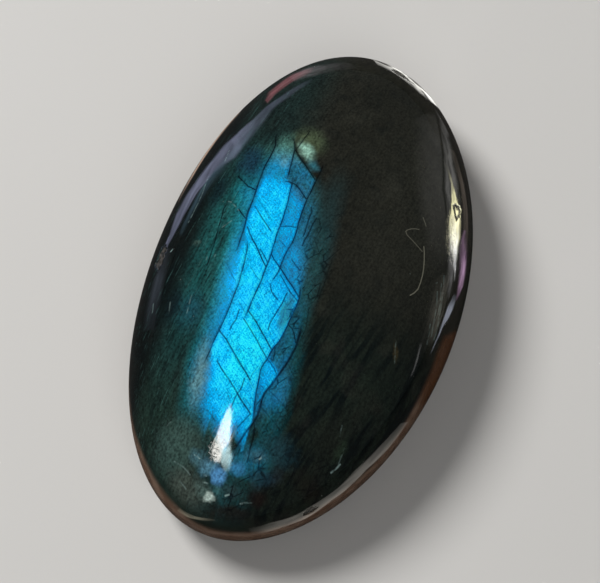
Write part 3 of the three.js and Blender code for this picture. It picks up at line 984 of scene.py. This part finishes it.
def patternColour(place, flat, measures):
    # the stone's own colour, the flash as painted sheen with painted glints, the patches, one of them a
    # painted sheen, and the cracks with painted shade beside them
    alongShare = linear(measures["along"], *alongRange)
    face = zone(measures, "face")
    borders = drawBorders(alongShare)
    cracks, glints = crackMasks(flat, measures, alongShare, borders)
    cracks = product(largest(cracks, crazing(flat, measures)), face)
    flash = grain(flat, product(flashLevel(measures, borders), face))
    # painted glints brighten the flash beside the cracks
    flash = calc("MULTIPLY_ADD", product(glints, flash), flashLook["glints"], flash)
    tint = bodyColour(place, measures, alongShare)
    tint = blendColour(fade(flash, *flashLook["hides"]), tint, flashLook["under"])
    tint = blendColour(1.0, tint, flashColour(flat, measures, flash), "ADD")
    ragged = shaken(place, flat, *shakes["fray"])
    for middle, size, turn, core, strength, patchTint in patches.values():
        mask = softPatch(ragged, middle, size, turn, core)
        tint = blendColour(product(mask, face, strength), tint, patchTint)
    texture = fibres(place, measures)
    shades = addNode("CombineXYZ", {0: texture, 1: texture, 2: texture}).outputs[0]
    calm = product(fade(flash, *flashLook["calms"], 1.0, 0.0), face)
    tint = blendColour(calm, tint, shades, "MULTIPLY")
    return blendColour(cracks, tint, stoneColours["crack"], "MULTIPLY")


def speckMask(place):
    # fine pale specks, one to a cell, with some left out
    cells = addNode("TexVoronoi", {"Vector": place, "Scale": specks["perMillimetre"]}).outputs
    chosen = coords(cells["Color"])
    size = linear(chosen[1], 0.0, 1.0, *specks["halfSize"])
    kept = calc("GREATER_THAN", chosen[0], specks["leftOut"])
    return product(fade(cells["Distance"], size, 0.0), kept)


def markedColour(tint, masks, marks):
    # pale marks and specks on the polish
    tint = blendColour(product(masks["specks"], specks["strength"]), tint, stoneColours["pale"])
    tint = blendColour(product(masks["hair"], masks["face"]), tint, stoneColours["hair"])
    return blendColour(product(marks, masks["face"]), tint, stoneColours["bright"])


def rimmedColour(tint, place, measures):
    # the plain underside and the brown, half clear edge, with painted shade on its lower right
    share = linear(measures["around"], -math.pi, math.pi)
    top = drawnCurve(share, rimTops, (-180, 180), *rimTopRange)
    rim = product(fade(calc("SUBTRACT", top, measures["height"]), *rimBorder), zone(measures, "rim"))
    rimTint = blendColour(pattern(place, "clearRim"), rimColours["clear"], rimColours["deep"])
    rimTint = blendColour(zone(measures, "shadedWedge"), rimTint, rimColours["shadedWedge"])
    tint = blendColour(zone(measures, "under"), tint, stoneColours["under"])
    return blendColour(rim, tint, rimTint)


def stoneMaterial():
    print("stone material")
    for makeGroup in (makeLinePiece, makeFlashStrip, makeLongCrack, makeSoftPatch):
        makeGroup()
    material = newMaterial("labradorite")
    place = placeInMillimetres()
    plan = calcVector("MULTIPLY", place, (1, 1, 0))
    flat = shaken(place, plan, *shakes["waver"])
    across, along = coords(flat)[:2]
    measures = {"across": across, "along": along, "height": coords(place)[2],
                "around": calc("ARCTAN2", along, across)}
    chipped = addNode("Attribute", attribute_name=chipCut["layer"]).outputs["Fac"]
    chipped = fade(chipped, *chipLook["border"])
    crumbs = pattern(place, "chipCrumbs")
    face = zone(measures, "face")
    worn = largest(*[softPatch(plan, *spot) for spot in wornSpots.values()])
    masks = {
        "face": face,
        "specks": speckMask(place),
        "hair": linesMask(plan, hairLines),
        "scuffs": pattern(place, "scuffs"),
        "chips": chipped,
        "chipFloor": product(chipped, crumbs),
        "pits": product(worn, pattern(place, "pits"), face),
        "waves": noiseValue(place, polish["waveSize"]),
    }
    marks = product(linesMask(flat, paleMarks), pattern(place, "brokenMarks"))

    tint = markedColour(patternColour(place, flat, measures), masks, marks)
    tint = rimmedColour(tint, place, measures)
    chipTint = blendColour(crumbs, stoneColours["night"], stoneColours["chip"])
    tint = blendColour(product(chipped, chipLook["strength"]), tint, chipTint)
    dull = largest(*[product(masks[name], share) for name, share in polish["dull"].items()])
    relief = added(*[product(masks[name], share) for name, share in polish["relief"].items()])
    depth = polish["bumpDepth"] * mm
    bump = addNode("Bump", {"Strength": polish["bump"], "Distance": depth, "Height": relief})
    shader = addNode("BsdfPrincipled", {
        "Base Color": tint, "Roughness": calc("ADD", dull, polish["roughness"]), "IOR": polish["ior"],
        "Normal": bump.outputs[0]})
    link(shader.outputs[0], addNode("OutputMaterial").inputs[0])
    return material


# The studio: everything here is stage, and distances are in metres
studio = {
    "floorHalf": 3.0,
    "floorColour": (0.60, 0.585, 0.56),
    "floorMirrored": (0.038, 0.034, 0.032),  # how the stone's polish sees the floor
    "floorRoughness": 0.9,
    "floorSheen": 0.1,
    "world": (0.090, 0.094, 0.10),
    "worldSeen": (0.62, 0.63, 0.64),
    "worldMirrored": (0.048, 0.050, 0.052),
    "key": {"place": (-0.46, 0.16, 0.56), "size": 0.30, "power": 5.5},
    "fill": {"place": (0.35, -0.55, 0.60), "size": 0.6, "power": 2.0},
}

# Strips of light that only the polish sees. Each station has a near and a far corner in
# millimetres and a share of the strip's strength; a corner without a height is 1 mm up. Soft is
# the share of the width that fades at the near and at the far border, and patchy is how much a
# strip varies, over patches of a size in millimetres
lightStrips = {
    "windowStrip": {
        "tint": (1.0, 0.98, 0.92), "strength": 21.0, "soft": (0.12, 0.14), "patchy": 0.5, "patch": 9,
        "stations": [
            ((-168, -121, 585), (-178, -128, 579), 0.2), ((-142, -180, 579), (-193, -187, 561), 1.0),
            ((-103, -258, 560), (-207, -246, 530), 1.0), ((-115, -275, 545), (-213, -290, 510), 1.0),
            ((-135, -303, 528), (-215, -315, 497), 1.0), ((-133, -334, 508), (-203, -347, 480), 1.0),
            ((-132, -364, 490), (-178, -369, 475), 0.7)],
    },
    "windowHaze": {
        "tint": (0.7, 1.0, 1.04), "strength": 13.5, "soft": (0.2, 0.2), "patchy": 0.35, "patch": 25,
        "stations": [
            ((-100, -262, 555), (-115, -262, 552), 0.3), ((-82, -287, 522), (-150, -300, 525), 1.0),
            ((-58, -324, 531), (-145, -334, 505), 1.0), ((-52, -355, 513), (-135, -365, 490), 0.8),
            ((-45, -398, 483), (-105, -394, 474), 0.3), ((-55, -415, 470), (-90, -412, 468), 0.0)],
    },
    "leftStrip": {
        "tint": (0.88, 0.95, 1.4), "strength": 1.4, "soft": (0.15, 0.35), "patchy": 0.4, "patch": 16,
        "stations": [
            ((-36, 5), (-46, 7), 0.4), ((-36, 8), (-49, 11), 0.7), ((-30, 10), (-71, 28), 0.7),
            ((-31, 14), (-89, 47, 2), 0.9), ((-35, 20), (-85, 53, 13), 0.7),
            ((-41, 28), (-79, 62, 34), 0.9), ((-45, 36), (-76, 65, 34), 1.0),
            ((-70, 63), (-71, 70, 34), 0.8), ((-69, 72, 8), (-66, 75, 31), 0.5),
            ((-64, 77, 8), (-61, 79, 24), 0.4), ((-59, 81, 11), (-58, 81, 24), 0.4),
            ((-53, 85, 12), (-53, 85, 24), 0.4), ((-48, 88, 12), (-47, 88, 22), 0.3),
            ((-42, 91, 12), (-42, 91, 20), 0.0)],
    },
    "leftHaze": {
        "tint": (0.45, 0.85, 1.15), "strength": 0.65, "soft": (0.3, 0.7), "patchy": 0.4, "patch": 8,
        "stations": [
            ((-69, 73, 18), (-66, 75, 38), 0.2), ((-72, 69, 18), (-70, 71, 39), 0.4),
            ((-76, 64, 18), (-75, 66, 38), 0.5), ((-80, 59, 12), (-80, 61, 36), 0.7),
            ((-84, 54, 5), (-83, 55, 32), 0.9), ((-87, 49, 2), (-87, 49, 24), 1.0),
            ((-90, 43), (-90, 43, 21), 1.0), ((-93, 38), (-93, 37, 18), 0.7),
            ((-94, 33), (-95, 32, 16), 0.3)],
    },
    "leftLowStrip": {
        "tint": (0.8, 0.92, 1.2), "strength": 0.34, "soft": (0.2, 0.7), "patchy": 0.4, "patch": 12,
        "stations": [
            ((-33, -10), (-99, -4, 18), 0.2), ((-33, -4), (-99, 9, 14), 0.9),
            ((-33, -1), (-98, 14, 12), 1.0), ((-36, 2), (-97, 19, 10), 0.6), ((-34, 5), (-90, 25, 6), 0.2)],
    },
    "tanStrip": {
        "tint": (1.0, 0.72, 0.55), "strength": 0.9, "soft": (0.3, 0.3), "patchy": 0.3, "patch": 5,
        "stations": [
            ((-26, 10), (-23, 10), 0.2), ((-26, 15), (-21, 15), 1.0), ((-24, 20), (-19, 19), 0.9),
            ((-21, 26), (-16, 24), 0.3)],
    },
    "redStrip": {
        "tint": (1.0, 0.34, 0.4), "strength": 1.3, "soft": (0.25, 0.4), "patchy": 0.5, "patch": 8,
        "stations": [
            ((-37, 49), (-63, 78, 7), 0.6), ((-24, 37), (-59, 81, 1.5), 1.0), ((-19, 36), (-53, 81), 0.9),
            ((-16, 36), (-44, 77), 0.6), ((-17, 40), (-42, 82), 0.45), ((-16, 44), (-38, 84), 0.0)],
    },
    "mauveStrip": {
        "tint": (1.0, 0.88, 0.94), "strength": 0.5, "soft": (0.2, 0.4), "patchy": 0.6, "patch": 6,
        "stations": [
            ((-18, 37), (-50, 86, 4), 0.5), ((-15, 38), (-46, 89, 6), 1.0), ((-15, 42), (-41, 91, 12), 0.9),
            ((-16, 50), (-34, 94, 14), 0.5), ((-14, 55), (-26, 97, 14), 0.25),
            ((-12, 58), (-16, 99, 12), 0.0)],
    },
    "dimGlow": {
        "tint": (1.0, 0.98, 0.94), "strength": 0.34, "soft": (0.6, 0.05), "patchy": 0.3, "patch": 20,
        "stations": [
            ((29, 96, 45), (17, 49), 0.2), ((39, 92, 62), (45, 89, 5), 0.8),
            ((52, 86, 76), (55, 83, 18), 1.0), ((65, 76, 80), (64, 77, 28), 1.0),
            ((76, 65, 72), (72, 70, 26), 0.8), ((83, 55, 66), (83, 56, 21), 0.4),
            ((88, 46, 60), (88, 46, 20), 0.0)],
    },
    "rightGlow": {
        "tint": (1.0, 0.99, 0.97), "strength": 1.1, "soft": (0.4, 0.3), "patchy": 0.6, "patch": 7,
        "stations": [
            ((17, 49), (12, 42), 0.1), ((45, 89, 5), (18, 38), 0.35), ((55, 83, 18), (28, 43), 0.8),
            ((64, 77, 28), (34, 40), 1.0), ((72, 70, 26), (31, 30), 1.0), ((80, 60, 22), (33, 26), 0.9),
            ((86, 51, 19), (37, 22), 0.5), ((90, 43, 20), (43, 18), 0.15), ((92, 38, 18), (50, 17), 0.0)],
    },
    "rimGlow": {
        "tint": (1.0, 0.82, 0.68), "strength": 0.32, "soft": (0.1, 0.5), "patchy": 0.3, "patch": 6,
        "stations": [
            ((21, 38), (36, 64), 0.4), ((23, 34), (35, 50), 0.8), ((23, 30), (34, 42), 1.0),
            ((24, 24), (36, 37), 1.0), ((25, 20), (39, 31), 0.8), ((26, 17), (38, 25), 0.3)],
    },
    "rightStrip": {
        "tint": (1.0, 0.95, 0.52), "strength": 12.5, "soft": (0.2, 0.25), "patchy": 0.5, "patch": 5,
        "stations": [
            ((53, 85, 14), (52, 85, 16), 0.0), ((58, 82, 8), (58, 82, 13), 0.03),
            ((62, 78, 5), (63, 78, 10), 0.2), ((66, 75), (68, 73, 14), 0.7), ((50, 52), (72, 69, 18), 0.9),
            ((41, 37), (75, 66, 22), 1.0), ((44, 34), (79, 62, 22), 0.7), ((56, 38), (83, 56, 15), 0.15),
            ((60, 36), (86, 52, 5), 0.0)],
    },
    "whiteStrip": {
        "tint": (1.0, 1.0, 1.02), "strength": 13.0, "soft": (0.25, 0.4), "patchy": 0.75, "patch": (6, 6, 4),
        "stations": [
            ((53, 55), (75, 73, 19), 0.0), ((44, 40), (79, 69, 23), 0.2), ((47, 36), (82, 65, 23), 0.6),
            ((57, 40), (86, 59, 18), 1.0), ((62, 37), (89, 54, 5), 0.6), ((58, 31), (66, 35), 0.25),
            ((52, 25), (60, 29), 0.0)],
    },
    "haloStrip": {
        "tint": (1.0, 1.0, 1.03), "strength": 0.9, "soft": (0.1, 0.7), "patchy": 0.5, "patch": 5,
        "stations": [
            ((84, 54, 10), (84, 54, 23), 0.6), ((86, 51), (87, 50, 18), 1.0), ((75, 39), (89, 45, 13), 1.0),
            ((70, 31), (91, 41, 7), 0.8), ((72, 29), (92, 38), 0.2)],
    },
    "violetStrip": {
        "tint": (1.0, 0.62, 0.98), "strength": 3.0, "soft": (0.35, 0.7), "patchy": 0.5, "patch": 3,
        "stations": [
            ((27, 22), (38, 31), 0.3), ((25, 17), (56, 39), 0.4), ((25, 15), (48, 29), 0.7),
            ((25, 13), (42, 22), 1.0), ((26, 11), (40, 17), 0.8), ((29, 10.5), (38, 14), 0.4),
            ((32, 10.5), (38, 13), 0.1)],
    },
    "thinStrip": {
        "tint": (0.85, 0.92, 1.12), "strength": 3.0, "soft": (0.1, 0.3), "patchy": 0.4, "patch": 4,
        "stations": [
            ((34, 12), (45, 18), 0.1), ((36, 10), (68, 24), 0.9), ((41, 10), (76, 23), 1.0),
            ((56, 13), (71, 18), 1.0), ((57, 11), (70, 15.5), 0.8), ((65, 10), (74, 12), 0.8),
            ((66, 8), (74, 9), 0.2)],
    },
    "toeStrip": {
        "tint": (1.0, 0.92, 0.68), "strength": 1.7, "soft": (0.2, 0.3), "patchy": 0.4, "patch": 5,
        "stations": [
            ((-9, -36), (-13, -43), 0.3), ((-7.5, -38.5), (-11.5, -46), 0.8), ((-7, -42), (-10, -51), 1.0),
            ((-6, -47), (-9, -62), 0.7), ((-4, -58), (-7, -78), 0.35), ((-2, -66), (-4, -84), 0.0)],
    },
    "brushStrip": {
        "tint": (1.0, 0.96, 0.8), "strength": 1.1, "soft": (0.1, 0.8), "patchy": 1.0,
        "patch": (14, 14, 1.8), "stations": [
            ((88, 47, 6), (89, 46, 45), 0.2), ((92, 38), (93, 36, 45), 0.9), ((95, 32), (96, 29, 43), 1.0),
            ((97, 26), (98, 22, 39), 0.6), ((99, 18), (99, 14, 39), 0.0)],
    },
    "slabStrip": {
        "tint": (1.0, 0.94, 0.85), "strength": 1.12, "soft": (0.1, 0.2), "patchy": 0.4, "patch": 7,
        "stations": [
            ((23, -12.5), (32.5, -14.5), 0.3), ((21, -17), (36, -22), 0.9), ((21, -22), (36, -29), 1.0),
            ((17, -25), (27, -31), 1.0), ((16, -27), (24, -34), 1.0), ((11, -29), (17, -38), 1.0),
            ((9, -32), (15, -44), 0.7), ((5, -34), (8, -44), 0.1)],
    },
    "hairStrip": {
        "tint": (1.0, 1.0, 1.0), "strength": 1.2, "soft": (0.2, 0.2), "patchy": 0.0, "patch": 9,
        "stations": [
            ((99, 16, 26), (99, 16, 30), 0.6), ((100, 9, 20), (100, 9, 24), 1.0),
            ((100, 2, 16), (100, 1, 18), 0.6)],
    },
    "endStrip": {
        "tint": (1.0, 0.98, 0.92), "strength": 3.6, "soft": (0.1, 0.5), "patchy": 0.9, "patch": (3, 5, 3),
        "stations": [
            ((-3, 40, 0.5), (-3, 60), 0.3), ((1, 38, 0.5), (3, 64), 0.7), ((3, 37, 0.5), (6, 66), 0.9),
            ((5, 36, 0.5), (10, 64), 1.0), ((7, 35, 0.5), (12, 58), 1.0), ((9, 34, 0.5), (12, 48), 0.5)],
    },
}
cardFoot = 1
cardNoise = {"detail": 3.0, "levels": (0.36, 0.6)}


def buildFloor():
    print("floor")
    floorMesh = bmesh.new()
    bmesh.ops.create_grid(floorMesh, x_segments=1, y_segments=1, size=studio["floorHalf"])
    floor = meshObject("floor", floorMesh)
    material = newMaterial("paleFloor", empty=False)
    shader = material.node_tree.nodes["Principled BSDF"].inputs
    mirrored = addNode("LightPath").outputs["Is Glossy Ray"]
    link(blendColour(mirrored, studio["floorColour"], studio["floorMirrored"]), shader["Base Color"])
    shader["Roughness"].default_value = studio["floorRoughness"]
    shader["Specular IOR Level"].default_value = studio["floorSheen"]
    floor.data.materials.append(material)


def pointBack(made, back):
    # turns a light or the camera so that it looks away from its back
    made.rotation_mode = "QUATERNION"
    made.rotation_quaternion = (-back).to_track_quat("-Z", "Y")


def softLight(name, spec):
    data = bpy.data.lights.new(name, "AREA")
    data.shape = "DISK"
    data.size = spec["size"]
    data.energy = spec["power"]
    light = addObject(name, data)
    light.location = spec["place"]
    pointBack(light, Vector(spec["place"]))
    light.visible_glossy = False
    light.visible_camera = False


def glowMaterial(name, strip):
    material = newMaterial(name)
    glow = addNode("Attribute", attribute_name="glow").outputs["Fac"]
    way = addNode("Attribute", attribute_name="way").outputs["Fac"]
    near, far = strip["soft"]
    varied = noiseMask(placeInMillimetres(), strip["patch"], cardNoise["detail"], 0, *cardNoise["levels"],
                       1.0 - strip["patchy"])
    strength = product(glow, fade(way, 0.0, near), fade(way, 1.0, 1.0 - far), varied, strip["strength"])
    light = addNode("Emission", {"Color": strip["tint"], "Strength": strength}).outputs[0]
    through = addNode("BsdfTransparent").outputs[0]  # so strips one behind the other add up
    link(addNode("AddShader", {0: light, 1: through}).outputs[0], addNode("OutputMaterial").inputs[0])
    return material


def buildStrip(name, strip):
    # a card of light that only the stone's polish sees
    stripMesh = bmesh.new()
    glow = stripMesh.verts.layers.float.new("glow")
    way = stripMesh.verts.layers.float.new("way")
    edges = []
    for side in (0, 1):
        row = []
        for station in strip["stations"]:
            corner = station[side] if len(station[side]) == 3 else (*station[side], cardFoot)
            row.append(stripMesh.verts.new(Vector(corner) * mm))
            row[-1][glow], row[-1][way] = station[2], side
        edges += [stripMesh.edges.new(pair) for pair in zip(row, row[1:])]
    bmesh.ops.bridge_loops(stripMesh, edges=edges)
    card = meshObject(name, stripMesh)
    card.data.materials.append(glowMaterial(name, strip))
    card.visible_camera = False
    card.visible_diffuse = False
    card.visible_shadow = False


def buildWorld():
    world = bpy.data.worlds.new("studioWorld")
    world.use_nodes = True
    bench["tree"] = world.node_tree
    path = addNode("LightPath").outputs
    tint = blendColour(path["Is Glossy Ray"], studio["world"], studio["worldMirrored"])
    tint = blendColour(path["Is Camera Ray"], tint, studio["worldSeen"])
    link(tint, world.node_tree.nodes["Background"].inputs["Color"])
    bpy.context.scene.world = world


def buildLights():
    print("lights")
    buildWorld()
    softLight("keyLight", studio["key"])
    softLight("fillLight", studio["fill"])
    for name, strip in lightStrips.items():
        buildStrip(name, strip)


# The camera stands where the photograph was taken from
shot = {
    "lens": 100.0,
    "sensor": 36.0,
    "aim": (-0.33, -1.51, 7.5),
    "azimuth": 18.0,
    "elevation": 65.0,
    "distance": 202.0,
    "nearest": 0.01,  # in metres, what the camera can see from close by
}


def buildCamera():
    print("camera")
    data = bpy.data.cameras.new("photoCamera")
    data.lens = shot["lens"]
    data.sensor_width = shot["sensor"]
    data.clip_start = shot["nearest"]
    camera = addObject("photoCamera", data)
    azimuth, elevation = math.radians(shot["azimuth"]), math.radians(shot["elevation"])
    level = math.cos(elevation)
    back = Vector((math.sin(azimuth) * level, -math.cos(azimuth) * level, math.sin(elevation)))
    camera.location = (Vector(shot["aim"]) + back * shot["distance"]) * mm
    pointBack(camera, back)
    bpy.context.scene.camera = camera


bpy.context.scene.view_settings.view_transform = "Standard"
buildCamera()
stone = buildStone()
stone.data.materials.append(stoneMaterial())
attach(stone, "root")
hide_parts("labradorite_stone")
buildFloor()
buildLights()
